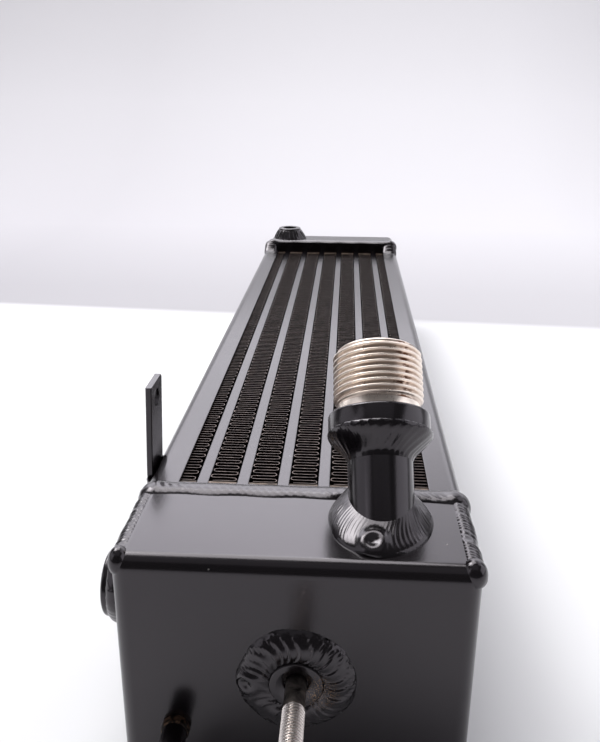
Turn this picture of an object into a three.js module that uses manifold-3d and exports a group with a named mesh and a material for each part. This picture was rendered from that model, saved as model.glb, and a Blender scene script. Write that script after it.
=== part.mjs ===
// A bar-and-plate liquid cooler: a brazed core between two welded sheet tanks, all millimetres, +Z up.
// The core's length runs along +Y, from the connection tank to the return tank, and air flows along Z.
// Inside this file X is measured from the core's middle, Y from the connection tank's front face,
// and Z from the tanks' flat bottoms. The exported group moves that to the middle of the bounding box.
import * as THREE from 'three';
import { RoundedBoxGeometry } from 'three/addons/geometries/RoundedBoxGeometry.js';
import { mergeVertices } from 'three/addons/utils/BufferGeometryUtils.js';
import Module from 'manifold-3d';

const wasm = await Module();
wasm.setup();

// ---- driving dimensions ----

// Round pieces and tilted pieces keep this gap to their neighbours; the filler metal is left out of it.
const GAP = 0.3;

// Tanks: folded sheet boxes, open towards the core.
const TANK = { left: -47.25, right: 48.75, height: 70, sheet: 2, bend: 4.25, bendSteps: 4 };
const NEAR_TANK_DEPTH = 38;
const FAR_TANK_DEPTH = 28;

// Header frames: flat plates that join the taller tanks to the thinner core.
const HEADER = { thickness: 4, openBottom: 10, openTop: 60 };

// Core: liquid passages and rows of air fin, stacked across X between two channels.
const CORE_LENGTH = 390;
const CORE_BOTTOM = 6;
const CORE_TOP = 64;
const PASSAGES = 8;
const PASSAGE_WIDTH = 4;
const PASSAGE_PITCH = 13.125;
const PARTING_SHEET = 0.5;
const FACE_BAR = 3;
const FACE_BAR_STEP = 1.5;
const END_BAR = { near: 15, far: 4.75 };

// Side channels: their lips reach over the outer fin rows.
const CHANNEL = { outside: 50.5, web: 2.5, lip: 10.75, lipSheet: 1, bend: 4.25, bendSteps: 5 };

// Air fin: one folded strip for each row. `crest` is half the blunt width of a fold across the row.
const FIN = { pitch: 4.2, waves: 88, crest: 0.45, step: 1.25, clearance: 0.125, start: 0.325 };

// Turbulator: a corrugated strip inside each liquid passage.
const TURBULATOR = { pitch: 3.2, waves: 14, crest: 0.25, clearance: 0.125, inset: 8 };

// Threaded union: a leaning tube with a collar and a parallel 3/4 inch pipe thread.
const UNION = {
  x: 23.6, y: 23, leanDeg: 41, turnDeg: 3,
  tubeR: 9.3, tubeBoreR: 7.5, tubeTop: 24, collarR: 14.8, collarTop: 30.6,
  threadR: 13.22, threadRootR: 12.05, threadPitch: 1.814, threads: 9,
  undercutR: 11.9, undercutTop: 33.4, boreR: 10, top: 50.5, chamfer: 0.8,
};

// Boss and stud on the connection tank's front face.
const BOSS = {
  x: 1.5, z: 34.5, r: 7.25, proud: 2.75, depth: 9, floor: 1.5, sinkR: 5.3, sinkDepth: 0.9, holeR: 3.2,
};
const STUD = { r: 3, shankR: 2.85, shankEnd: 11, reach: 42, root: 7.5, chamfer: 0.6 };

// Locating pin, low on the same face.
const PIN = { x: -31.75, z: 16.5, r: 3.45, reach: 12, root: 2, chamfer: 1, collarR: 3.75, collarReach: 2.1 };

// Plain side port on the connection tank's left face.
const SIDE_PORT = { y: 21, z: 48, r: 9.5, boreR: 6.5, reach: 7, root: 4.25, chamfer: 0.6 };

// Bung on top of the return tank.
const BUNG = { x: -32.5, r: 8.5, boreR: 5, reach: 8.5, root: 4, chamfer: 1, weldR: 12.5 };

// Bracket: a flat strip welded to the left channel.
const BRACKET = {
  y: 69.75, width: 15, sheet: 2, bottom: 22, kink: 62, top: 92.25, lean: 1.25,
  holeZ: 86, holeR: 3.25, corner: 1.25,
};

// Beads between the tanks and the header frames: over the top and down both sides, but not underneath.
const BEAD = { reach: 4, proud: 1.5, foot: 5 };

// Fillet round the union's foot: an oval cone that leans back with the tube and stops at `rearY`.
const FOOT_WELD = {
  x: 23, y: 22.6, baseX: 14.6, baseY: 17.2, topX: 10.8, topY: 13.6, height: 4, rearY: 33.6, leanShare: 0.7,
};

// The other fillets, as [radius, distance along the fitting's axis], from the outer foot inwards.
const COLLAR_FILLET = [[10.4, 17.5], [11.6, 20], [15.4, 23.9]];
const BOSS_FILLET = [[16, 0], [15, 1.6], [11.5, 3]];
const PORT_FILLET = [[12, 0], [11.4, 2], [10.6, 4.6]];
const BUNG_FILLET = [[BUNG.weldR, 0], [10.5, 3.6]];

// Cutting blocks and bores reach this far, well past everything they trim.
const BEYOND = 90;

const ROUND = 32;
const FITTING_ROUND = 24;
const SMALL_ROUND = 20;

// ---- positions worked out from the driving dimensions ----

const CORE_NEAR = NEAR_TANK_DEPTH + HEADER.thickness;
const CORE_FAR = CORE_NEAR + CORE_LENGTH;
const FAR_TANK_NEAR = CORE_FAR + HEADER.thickness;
const TOTAL_LENGTH = FAR_TANK_NEAR + FAR_TANK_DEPTH;
const FIN_GAP = PASSAGE_PITCH - PASSAGE_WIDTH;
const FIN_ROWS = PASSAGES - 1;
const TANK_MIDDLE_X = (TANK.left + TANK.right) / 2;
const BASE_CENTRE_X = (TANK.left - SIDE_PORT.reach + CHANNEL.outside) / 2;
const BASE_CENTRE_Y = (TOTAL_LENGTH - STUD.reach) / 2;

// ---- materials ----

function metal(colour, roughness, metalness) {
  return new THREE.MeshStandardMaterial({ color: colour, roughness, metalness });
}

const BLACK_COAT = metal('#1b1c1f', 0.42, 0.1);
const FIN_COAT = metal('#2a2521', 0.55, 0.4);
const END_BAR_COAT = metal('#57432f', 0.6, 0.3);
const BARE_ALUMINIUM = metal('#b4b6b9', 0.4, 1);
const BARE_THREAD = metal('#c9b9a4', 0.28, 1);
const STUD_STEEL = metal('#9a948c', 0.35, 1);

// ---- shape helpers ----

const radiator = new THREE.Group();

function add(name, geometry, material) {
  const mesh = new THREE.Mesh(geometry, material);
  mesh.name = name;
  radiator.add(mesh);
  return mesh;
}

function block(x0, x1, y0, y1, z0, z1) {
  const geometry = new THREE.BoxGeometry(x1 - x0, y1 - y0, z1 - z0);
  return geometry.translate((x0 + x1) / 2, (y0 + y1) / 2, (z0 + z1) / 2);
}

// A shape drawn in X and Z, swept from y0 to y1.
function sweepAlongY(shape, y0, y1, curveSegments = 5) {
  const geometry = new THREE.ExtrudeGeometry(shape, { depth: y1 - y0, bevelEnabled: false, curveSegments });
  return geometry.rotateX(Math.PI / 2).translate(0, y1, 0);
}

function outline(points) {
  return new THREE.Shape(points.map(([a, b]) => new THREE.Vector2(a, b)));
}

// A profile of [radius, distance along the axis], turned about an axis from `from` towards `direction`.
function turned(profile, from, direction, segments = ROUND) {
  const points = profile.map(([r, t]) => new THREE.Vector2(r, t));
  const geometry = new THREE.LatheGeometry(points, segments);
  const turn = new THREE.Quaternion().setFromUnitVectors(new THREE.Vector3(0, 1, 0), direction);
  return geometry.applyQuaternion(turn).translate(from.x, from.y, from.z);
}

// A closed ring profile needs its first point again at the end.
function ring(profile) {
  return [...profile, profile[0]];
}

// A weld fillet between radius `innerR` and the given outer points; `top` is its height at `innerR`.
function fillet(innerR, outer, top) {
  return ring([[innerR, outer[0][1]], ...outer, [innerR, top]]);
}

function rod(r, t0, t1) {
  return [[0, t0], [r, t0], [r, t1], [0, t1]];
}

function solid(geometry) {
  const bare = geometry.clone();
  bare.deleteAttribute('normal');
  bare.deleteAttribute('uv');
  const merged = mergeVertices(bare, 1e-4);
  const vertProperties = new Float32Array(merged.attributes.position.array);
  const triVerts = new Uint32Array(merged.index.array);
  return new wasm.Manifold(new wasm.Mesh({ numProp: 3, vertProperties, triVerts }));
}

function surface(body) {
  const mesh = body.getMesh();
  const geometry = new THREE.BufferGeometry();
  geometry.setAttribute('position', new THREE.BufferAttribute(new Float32Array(mesh.vertProperties), 3));
  geometry.setIndex(new THREE.BufferAttribute(new Uint32Array(mesh.triVerts), 1));
  geometry.computeVertexNormals();
  return geometry;
}

function cut(geometry, ...tools) {
  return surface(tools.reduce((body, tool) => body.subtract(solid(tool)), solid(geometry)));
}

// The tanks' outline seen along Y, grown by `grow`, with rounded corners.
function tankOutline(grow) {
  const x0 = TANK.left - grow;
  const x1 = TANK.right + grow;
  const z0 = -grow;
  const z1 = TANK.height + grow;
  const r = TANK.bend + grow;
  const path = new THREE.Shape();
  path.moveTo(x0 + r, z0);
  path.lineTo(x1 - r, z0);
  path.absarc(x1 - r, z0 + r, r, -Math.PI / 2, 0);
  path.lineTo(x1, z1 - r);
  path.absarc(x1 - r, z1 - r, r, 0, Math.PI / 2);
  path.lineTo(x0 + r, z1);
  path.absarc(x0 + r, z1 - r, r, Math.PI / 2, Math.PI);
  path.lineTo(x0, z0 + r);
  path.absarc(x0 + r, z0 + r, r, Math.PI, Math.PI * 1.5);
  return path;
}

// ---- axes of the round fittings ----

const LEFT = new THREE.Vector3(-1, 0, 0);
const FRONT = new THREE.Vector3(0, -1, 0);
const UP = new THREE.Vector3(0, 0, 1);

const lean = THREE.MathUtils.degToRad(UNION.leanDeg);
const turn = THREE.MathUtils.degToRad(UNION.turnDeg);
const UNION_AXIS = new THREE.Vector3(
  -Math.sin(lean) * Math.sin(turn),
  Math.sin(lean) * Math.cos(turn),
  Math.cos(lean),
);
const UNION_BASE = new THREE.Vector3(UNION.x, UNION.y, TANK.height);
const BOSS_FOOT = new THREE.Vector3(BOSS.x, 0, BOSS.z);
const PIN_FOOT = new THREE.Vector3(PIN.x, 0, PIN.z);
const PORT_FOOT = new THREE.Vector3(TANK.left, SIDE_PORT.y, SIDE_PORT.z);
const BUNG_FOOT = new THREE.Vector3(BUNG.x, (FAR_TANK_NEAR + TOTAL_LENGTH) / 2 - 1, TANK.height);

// ---- tanks ----

// A rounded box with one end cut off square and a plain hollow: the cut end is the open one.
function tankShell(closedY, openY, holes) {
  const away = Math.sign(closedY - openY);
  const spareY = openY - away * 2 * TANK.bend;
  const depth = Math.abs(closedY - spareY);
  const width = TANK.right - TANK.left;
  const whole = new RoundedBoxGeometry(width, depth, TANK.height, TANK.bendSteps, TANK.bend);
  whole.translate(TANK_MIDDLE_X, (closedY + spareY) / 2, TANK.height / 2);
  const beyond = openY - away * 3 * TANK.bend;
  const sawn = block(
    TANK.left - 1, TANK.right + 1, Math.min(openY, beyond), Math.max(openY, beyond), -1, TANK.height + 1,
  );
  const inside = closedY - away * TANK.sheet;
  const hollow = block(
    TANK.left + TANK.sheet, TANK.right - TANK.sheet, Math.min(inside, beyond), Math.max(inside, beyond),
    TANK.sheet, TANK.height - TANK.sheet,
  );
  return cut(whole, sawn, hollow, ...holes);
}

function drill(r, from, direction, segments = ROUND) {
  const through = 3 * TANK.sheet;
  return turned(rod(r + GAP, -through, through), from, direction, segments);
}

const unionHole = turned(rod(UNION.tubeR + GAP, -UNION.tubeTop, UNION.tubeTop), UNION_BASE, UNION_AXIS);
const bossHole = drill(BOSS.r, BOSS_FOOT, FRONT);
const pinHole = drill(PIN.r, PIN_FOOT, FRONT, SMALL_ROUND);
const portHole = drill(SIDE_PORT.r, PORT_FOOT, LEFT);
const bungHole = drill(BUNG.r, BUNG_FOOT, UP);
add('near_tank', tankShell(0, NEAR_TANK_DEPTH, [unionHole, bossHole, pinHole, portHole]), BLACK_COAT);
add('far_tank', tankShell(TOTAL_LENGTH, FAR_TANK_NEAR, [bungHole]), BLACK_COAT);

// ---- header frames ----

function headerFrame(name, y0) {
  const plate = tankOutline(0);
  const opening = outline([
    [TANK.left + TANK.sheet, HEADER.openBottom],
    [TANK.left + TANK.sheet, HEADER.openTop],
    [TANK.right - TANK.sheet, HEADER.openTop],
    [TANK.right - TANK.sheet, HEADER.openBottom],
  ]);
  plate.holes.push(opening);
  add(name, sweepAlongY(plate, y0, y0 + HEADER.thickness, TANK.bendSteps), BLACK_COAT);
}

headerFrame('near_header_frame', NEAR_TANK_DEPTH);
headerFrame('far_header_frame', CORE_FAR);

// ---- baffle: parts the connection tank into a feed side and a return side ----

function tankBaffle() {
  const profile = new THREE.Shape();
  const top = TANK.height - TANK.sheet;
  // Drawn as [Y, Z] and turned up to face X.
  profile.setFromPoints([
    [TANK.sheet, TANK.sheet], [NEAR_TANK_DEPTH, TANK.sheet], [NEAR_TANK_DEPTH, HEADER.openBottom],
    [CORE_NEAR, HEADER.openBottom], [CORE_NEAR, HEADER.openTop], [NEAR_TANK_DEPTH, HEADER.openTop],
    [NEAR_TANK_DEPTH, top], [TANK.sheet, top],
  ].map(([y, z]) => new THREE.Vector2(y, z)));
  const sheet = new THREE.ExtrudeGeometry(profile, { depth: TANK.sheet, bevelEnabled: false });
  // The sweep's own X, Y, Z become Y, Z, X.
  sheet.applyMatrix4(new THREE.Matrix4().set(0, 0, 1, -TANK.sheet / 2, 1, 0, 0, 0, 0, 1, 0, 0, 0, 0, 0, 1));
  const notch = turned(rod(BOSS.r + 2 * GAP, -BOSS.depth - 1, 1), BOSS_FOOT, FRONT, SMALL_ROUND);
  add('tank_baffle', cut(sheet, notch), BARE_ALUMINIUM);
}

tankBaffle();

// ---- beads between the tanks and the header frames ----

function coreBead(name, jointY, ...tools) {
  const band = tankOutline(BEAD.proud);
  const bead = sweepAlongY(band, jointY - BEAD.reach, jointY + BEAD.reach, TANK.bendSteps);
  const y0 = jointY - 2 * BEAD.reach;
  const y1 = jointY + 2 * BEAD.reach;
  const core = sweepAlongY(tankOutline(GAP), y0, y1, TANK.bendSteps);
  const underside = block(-BEYOND, BEYOND, y0, y1, -BEYOND, BEAD.foot);
  add(name, cut(bead, core, underside, ...tools), BLACK_COAT);
}

coreBead('near_core_weld', NEAR_TANK_DEPTH, unionHole);
const bungWeldClearance = turned(rod(BUNG.weldR + GAP, -1, BUNG.reach), BUNG_FOOT, UP, SMALL_ROUND);
coreBead('far_core_weld', FAR_TANK_NEAR, bungWeldClearance);

// ---- core ----

function passageX(i) {
  return (i - (PASSAGES - 1) / 2) * PASSAGE_PITCH;
}

function finRowX(i) {
  return (i - (FIN_ROWS - 1) / 2) * PASSAGE_PITCH;
}

const PASSAGE_TOP = CORE_TOP - FACE_BAR_STEP;
const PASSAGE_BOTTOM = CORE_BOTTOM + FACE_BAR_STEP;

// Two parting sheets and two face bars, brazed into one flat tube that is open at both ends.
function liquidPassage(i) {
  const x = passageX(i);
  const half = PASSAGE_WIDTH / 2;
  const section = outline([
    [x - half, PASSAGE_BOTTOM], [x + half, PASSAGE_BOTTOM], [x + half, PASSAGE_TOP], [x - half, PASSAGE_TOP],
  ]);
  const inner = half - PARTING_SHEET;
  section.holes.push(outline([
    [x - inner, PASSAGE_BOTTOM + FACE_BAR], [x - inner, PASSAGE_TOP - FACE_BAR],
    [x + inner, PASSAGE_TOP - FACE_BAR], [x + inner, PASSAGE_BOTTOM + FACE_BAR],
  ]));
  add(`liquid_passage_${i + 1}`, sweepAlongY(section, CORE_NEAR, CORE_FAR), BLACK_COAT);
}

// A folded strip, built crest by crest. `place` turns [across, along, depth] into a point [x, y, z].
function foldedStrip({ middle, reach, start, pitch, waves, crest, depth0, depth1 }, place) {
  const vertices = [];
  const triangles = [];
  const quad = (a, b, c, d) => triangles.push(a, b, c, a, c, d);
  const crests = 2 * waves;
  for (let k = 0; k <= crests; k += 1) {
    const across = middle + (k % 2 === 0 ? crest - reach : reach - crest);
    const along = start + (k * pitch) / 2;
    vertices.push(...place(across - crest, along, depth0), ...place(across + crest, along, depth0));
    vertices.push(...place(across + crest, along, depth1), ...place(across - crest, along, depth1));
  }
  quad(0, 1, 2, 3);
  for (let k = 0; k < crests; k += 1) {
    const a = 4 * k;
    for (let side = 0; side < 4; side += 1) {
      const next = (side + 1) % 4;
      quad(a + next, a + side, a + side + 4, a + next + 4);
    }
  }
  const last = 4 * crests;
  quad(last + 3, last + 2, last + 1, last);
  const geometry = new THREE.BufferGeometry();
  geometry.setAttribute('position', new THREE.Float32BufferAttribute(vertices, 3));
  geometry.setIndex(triangles);
  geometry.computeVertexNormals();
  return geometry;
}

// Corrugated across the passage and open along it, so the liquid runs lengthwise through its folds.
function turbulator(i) {
  const { pitch, waves, crest, clearance, inset } = TURBULATOR;
  const fold = {
    middle: passageX(i), reach: PASSAGE_WIDTH / 2 - PARTING_SHEET - clearance,
    start: (PASSAGE_BOTTOM + PASSAGE_TOP - pitch * waves) / 2, pitch, waves, crest,
    depth0: CORE_FAR - inset, depth1: CORE_NEAR + inset,
  };
  const strip = foldedStrip(fold, (across, along, depth) => [across, depth, along]);
  add(`turbulator_${i + 1}`, strip, BARE_ALUMINIUM);
}

// Folded along the core and open along Z, so the air blows straight through.
function airFin(i) {
  const { pitch, waves, crest, clearance, start, step } = FIN;
  const fold = {
    middle: finRowX(i), reach: FIN_GAP / 2 - clearance,
    start: CORE_NEAR + END_BAR.near + start, pitch, waves, crest,
    depth0: CORE_BOTTOM + step, depth1: CORE_TOP - step,
  };
  const strip = foldedStrip(fold, (across, along, depth) => [across, along, depth]);
  add(`air_fin_${i + 1}`, strip, FIN_COAT);
}

// A solid bar closes each fin row at both ends, so that the liquid in the tanks can't reach the air side.
function endBar(name, i, y0, y1) {
  const x = finRowX(i);
  const half = FIN_GAP / 2;
  const bar = block(x - half, x + half, y0, y1, PASSAGE_BOTTOM, PASSAGE_TOP);
  add(`${name}_${i + 1}`, bar, END_BAR_COAT);
}

for (let i = 0; i < PASSAGES; i += 1) {
  liquidPassage(i);
  turbulator(i);
}
for (let i = 0; i < FIN_ROWS; i += 1) {
  airFin(i);
  endBar('near_end_bar', i, CORE_NEAR, CORE_NEAR + END_BAR.near);
  endBar('far_end_bar', i, CORE_FAR - END_BAR.far, CORE_FAR);
}

// ---- side channels: a web down the core's side and a lip over its top and bottom ----

// The outer bends are round and the inner corners are square.
function sideChannel(name, side) {
  const { outside, web, lip, lipSheet, bend, bendSteps } = CHANNEL;
  const bendPoints = (zCentre, fromDeg) => {
    const points = [];
    for (let k = 0; k <= bendSteps; k += 1) {
      const angle = THREE.MathUtils.degToRad(fromDeg + (90 * k) / bendSteps);
      points.push([outside - bend + bend * Math.cos(angle), zCentre + bend * Math.sin(angle)]);
    }
    return points;
  };
  const inner = outside - lip;
  const section = [
    [inner, CORE_BOTTOM],
    ...bendPoints(CORE_BOTTOM + bend, -90),
    ...bendPoints(CORE_TOP - bend, 0),
    [inner, CORE_TOP],
    [inner, CORE_TOP - lipSheet],
    [outside - web, CORE_TOP - lipSheet],
    [outside - web, CORE_BOTTOM + lipSheet],
    [inner, CORE_BOTTOM + lipSheet],
  ];
  const placed = section.map(([x, z]) => [side * x, z]);
  add(name, sweepAlongY(outline(placed), CORE_NEAR, CORE_FAR), BLACK_COAT);
}

sideChannel('left_side_channel', -1);
sideChannel('right_side_channel', 1);

// ---- threaded union ----

function unionTube() {
  const { tubeR, tubeBoreR, tubeTop } = UNION;
  const wall = ring([[tubeBoreR, -tubeTop], [tubeR, -tubeTop], [tubeR, tubeTop], [tubeBoreR, tubeTop]]);
  const insideTank = block(
    -BEYOND, BEYOND, -BEYOND, BEYOND, -BEYOND, TANK.height - 1.5 * TANK.sheet,
  );
  add('union_tube', cut(turned(wall, UNION_BASE, UNION_AXIS), insideTank), BLACK_COAT);
}

// One turned fitting: a collar, a plain undercut and a threaded nose, bored right through.
function unionFitting() {
  const { boreR, collarR, collarTop, undercutR, undercutTop, chamfer, top } = UNION;
  const { threadR, threadRootR, threadPitch } = UNION;
  const seat = UNION.tubeTop + GAP;
  const profile = [
    [boreR, seat], [collarR, seat], [collarR, collarTop - chamfer], [collarR - chamfer, collarTop],
    [undercutR, collarTop], [undercutR, undercutTop],
  ];
  for (let k = 0; k < UNION.threads; k += 1) {
    const t = undercutTop + k * threadPitch;
    profile.push([threadRootR, t + 0.05 * threadPitch], [threadR, t + 0.45 * threadPitch]);
    profile.push([threadR, t + 0.6 * threadPitch]);
  }
  profile.push([threadRootR, top - chamfer / 2], [threadRootR - chamfer / 2, top], [boreR, top]);
  add('union_fitting', turned(ring(profile), UNION_BASE, UNION_AXIS, FITTING_ROUND), BARE_THREAD);
}

// The fillet under the collar.
function unionCollarWeld() {
  const profile = fillet(UNION.tubeR + GAP, COLLAR_FILLET, UNION.tubeTop - GAP / 2);
  add('union_collar_weld', turned(profile, UNION_BASE, UNION_AXIS), BLACK_COAT);
}

// The fillet round the tube's foot, cut off flat behind so that it clears the header's bead.
function unionBaseWeld() {
  const { x, y, baseX, baseY, topX, topY, height, rearY, leanShare } = FOOT_WELD;
  const cone = new THREE.CylinderGeometry(topX, baseX, height, ROUND);
  cone.rotateX(Math.PI / 2);
  const stretch = cone.attributes.position;
  for (let i = 0; i < stretch.count; i += 1) {
    const isTop = stretch.getZ(i) > 0;
    const ratio = isTop ? topY / topX : baseY / baseX;
    const leanBack = isTop ? leanShare * height * Math.tan(lean) : 0;
    const placedX = stretch.getX(i) + x;
    const placedY = stretch.getY(i) * ratio + y + leanBack;
    stretch.setXYZ(i, placedX, placedY, stretch.getZ(i) + TANK.height + height / 2);
  }
  const bore = turned(rod(UNION.tubeR + GAP, -UNION.tubeTop, UNION.tubeTop), UNION_BASE, UNION_AXIS);
  const behind = block(-BEYOND, BEYOND, rearY, BEYOND, 0, 2 * TANK.height);
  add('union_base_weld', cut(cone, bore, behind), BLACK_COAT);
}

unionTube();
unionFitting();
unionCollarWeld();
unionBaseWeld();

// ---- boss, stud and locating pin on the front face ----

function frontBoss() {
  const { r, proud, depth, floor, sinkR, sinkDepth, holeR } = BOSS;
  const profile = [
    [0, -depth], [r, -depth], [r, proud], [sinkR, proud],
    [holeR, proud - sinkDepth], [holeR, floor - depth], [0, floor - depth],
  ];
  add('front_boss', turned(profile, BOSS_FOOT, FRONT, SMALL_ROUND), BLACK_COAT);
}

function frontBossWeld() {
  const profile = fillet(BOSS.r + GAP, BOSS_FILLET, BOSS.proud);
  add('front_boss_weld', turned(profile, BOSS_FOOT, FRONT), BLACK_COAT);
}

function mountingStud() {
  const { r, shankR, shankEnd, reach, root, chamfer } = STUD;
  const profile = [
    [0, -root + GAP], [shankR, -root + GAP], [shankR, shankEnd], [r, shankEnd + 0.5],
    [r, reach - chamfer], [r - chamfer, reach], [0, reach],
  ];
  add('mounting_stud', turned(profile, BOSS_FOOT, FRONT, SMALL_ROUND), STUD_STEEL);
}

function locatingPin() {
  const { r, reach, root, chamfer, collarR, collarReach } = PIN;
  const profile = [
    [0, -root], [r, -root], [r, GAP], [collarR, GAP], [collarR, collarReach], [r, collarReach + 0.3],
    [r, reach - chamfer], [r - chamfer, reach], [0, reach],
  ];
  add('locating_pin', turned(profile, PIN_FOOT, FRONT, SMALL_ROUND), BLACK_COAT);
}

frontBoss();
frontBossWeld();
mountingStud();
locatingPin();

// ---- side port, bung and their welds ----

function sidePort() {
  const { r, boreR, reach, root, chamfer } = SIDE_PORT;
  const profile = ring([
    [boreR, -root], [r, -root], [r, reach - chamfer], [r - chamfer, reach], [boreR, reach],
  ]);
  add('side_port', turned(profile, PORT_FOOT, LEFT), BLACK_COAT);
  add('side_port_weld', turned(fillet(r + GAP, PORT_FILLET, 4.8), PORT_FOOT, LEFT), BLACK_COAT);
}

function farBung() {
  const { r, boreR, reach, root, chamfer } = BUNG;
  const profile = ring([
    [boreR, -root], [r, -root], [r, reach - chamfer], [r - chamfer, reach], [boreR, reach],
  ]);
  add('far_bung', turned(profile, BUNG_FOOT, UP, SMALL_ROUND), BLACK_COAT);
  add('far_bung_weld', turned(fillet(r + GAP, BUNG_FILLET, 6.4), BUNG_FOOT, UP, SMALL_ROUND), BLACK_COAT);
}

sidePort();
farBung();

// ---- bracket ----

function mountingBracket() {
  const { y, width, sheet, bottom, kink, top, lean: inward, holeZ, holeR, corner } = BRACKET;
  const inner = -CHANNEL.outside;
  const strip = sweepAlongY(outline([
    [inner, bottom], [inner, kink], [inner + inward, top], [inner + inward - sheet, top],
    [inner - sheet, kink], [inner - sheet, bottom],
  ]), y - width / 2, y + width / 2);
  const through = 4 * sheet;
  const hole = turned(rod(holeR, -through, through), new THREE.Vector3(inner, y, holeZ), LEFT, SMALL_ROUND);
  // A bar on edge takes off the far top corner.
  const clip = new THREE.BoxGeometry(2 * through, corner * Math.SQRT2, corner * Math.SQRT2);
  clip.rotateX(Math.PI / 4).translate(inner, y + width / 2, top);
  add('mounting_bracket', cut(strip, hole, clip), BLACK_COAT);
}

mountingBracket();

// ---- the frame: middle of the bounding box in X and Y, the tanks' bottoms in Z ----

radiator.position.set(-BASE_CENTRE_X, -BASE_CENTRE_Y, 0);

export default radiator;
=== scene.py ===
"""Looks for a bar-and-plate liquid cooler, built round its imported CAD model.

Every piece is drawn in millimetres in the cooler's own frame: X from the core's middle,
Y from the connection tank's front face, Z from the tanks' flat bottoms.
"""

import math

import bmesh
import bpy
import numpy as np
from mathutils import Matrix, Vector


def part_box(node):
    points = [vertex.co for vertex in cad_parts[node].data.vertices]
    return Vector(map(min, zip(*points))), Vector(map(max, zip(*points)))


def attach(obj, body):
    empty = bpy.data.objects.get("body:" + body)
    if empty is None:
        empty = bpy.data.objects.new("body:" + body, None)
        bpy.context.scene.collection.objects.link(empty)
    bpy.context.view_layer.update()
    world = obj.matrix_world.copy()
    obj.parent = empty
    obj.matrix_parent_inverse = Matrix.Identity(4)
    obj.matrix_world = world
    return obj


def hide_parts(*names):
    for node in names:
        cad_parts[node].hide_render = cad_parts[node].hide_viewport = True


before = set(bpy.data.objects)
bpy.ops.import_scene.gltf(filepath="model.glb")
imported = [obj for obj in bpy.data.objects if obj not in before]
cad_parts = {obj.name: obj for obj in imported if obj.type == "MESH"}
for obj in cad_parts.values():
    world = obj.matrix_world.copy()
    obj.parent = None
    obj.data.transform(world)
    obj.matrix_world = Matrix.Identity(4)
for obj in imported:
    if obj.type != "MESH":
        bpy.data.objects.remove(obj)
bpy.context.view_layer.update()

MM = 0.001
TAU = math.tau
FRONT, LEFT, UP = (0, -1, 0), (-1, 0, 0), (0, 0, 1)
SIDEWAYS = (1, 0, 0)

# ---- driving dimensions, in millimetres ----

TANK_LEFT, TANK_RIGHT, TANK_TOP = -47.25, 48.75, 70
TANK_SHEET, TANK_BEND = 2, 4.25
NEAR_TANK_DEPTH = 38
FAR_HEADER, FAR_TANK_NEAR, FAR_TANK_BACK = 432, 436, 464
RAIL_TOP = 64
HEADER_OPENING = (10, 60)
CHANNEL = {"web": 2.5, "lip_sheet": 1, "bend": 4.25, "lip_edge": 0.35}
BAR_EDGE = 0.45
FIN = {"pitch": 4.2, "sheet": 0.24, "turn": 0.98}
UNION = {
    "foot": (23.6, 23, 70), "lean": 41, "turn": 3, "tube": 9.3, "tube_bore": 7.5, "tube_top": 24.3,
    "collar": 14.8, "collar_top": 30.6, "bore": 10, "neck": 11.9, "neck_top": 33.2,
    "crest": 13.22, "root": 12.1, "pitch": 1.814, "top": 50.5,
}
BOSS = {"x": 1.5, "z": 34.5, "r": 7.25, "proud": 2.75, "sink": 5.3, "sink_depth": 0.9, "hole": 3.2}
STUD = {"crest": 3, "root": 2.38, "shank": 2.85, "shank_end": 11, "pitch": 1, "reach": 42}
PIN = {"x": -31.75, "z": 16.5, "r": 3.45, "reach": 12, "collar": 4}
PORT = {"y": 21, "z": 48, "r": 9.5, "bore": 6.5, "reach": 7, "weld": 12}
BUNG = {"x": -32.5, "y": 449, "r": 8.5, "bore": 5, "reach": 8.5, "weld": 12.5}
BRACKET = {
    "sheet": 2, "lean": 1.25, "kink": 62, "corner": 1.25, "hole": 3.25, "hole_z": 86, "weld": (26, 60.5),
}
FOOT_WELD = {"x": 23, "y": 22.6, "across": 14.6, "along": 17.2, "climb": 5.2}

BOSS_FOOT = (BOSS["x"], 0, BOSS["z"])
PORT_FOOT = (TANK_LEFT, PORT["y"], PORT["z"])
BUNG_FOOT = (BUNG["x"], BUNG["y"], TANK_TOP)
LEAN, TURN = math.radians(UNION["lean"]), math.radians(UNION["turn"])
UNION_AXIS = (-math.sin(LEAN) * math.sin(TURN), math.sin(LEAN) * math.cos(TURN), math.cos(LEAN))

# The cooler's own frame is the CAD frame, moved so that the near tank's corner is where it is above.
ORIGIN = np.array(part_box("near_tank")[0]) / MM - np.array((TANK_LEFT, 0, 0))


def own_box(node):
    """A CAD node's lowest and highest corners, in the cooler's own frame."""
    low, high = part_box(node)
    return np.array(low) / MM - ORIGIN, np.array(high) / MM - ORIGIN


def in_metres(points):
    """Points of the cooler's own frame, as places in the scene."""
    return (np.array(points) + ORIGIN) * MM


def nodes_named(start):
    return sorted(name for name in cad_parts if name.startswith(start))


# ---- shader nodes ----

# The ranges that noise values are read from: nearly all of them, or the middle of them.
WIDE, NARROW = (0.3, 0.7), (0.35, 0.65)


def set_inputs(node, **inputs):
    """Sets some of a node's inputs; an underscore in an input's name stands for a space."""
    for name, value in inputs.items():
        node.inputs[name.replace("_", " ")].default_value = value
    return node


def add_node(tree, kind, **inputs):
    return set_inputs(tree.nodes.new(kind), **inputs)


def new_look(name, metallic=0.0, specular=0.5, tint=(1, 1, 1)):
    """A material, its node tree and its Principled shader."""
    look = bpy.data.materials.new(name)
    look.use_nodes = True
    shader = look.node_tree.nodes["Principled BSDF"]
    set_inputs(shader, Metallic=metallic, Specular_IOR_Level=specular, Specular_Tint=(*tint, 1))
    return look, look.node_tree, shader


def object_point(tree):
    return tree.nodes.new("ShaderNodeTexCoord").outputs["Object"]


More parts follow.
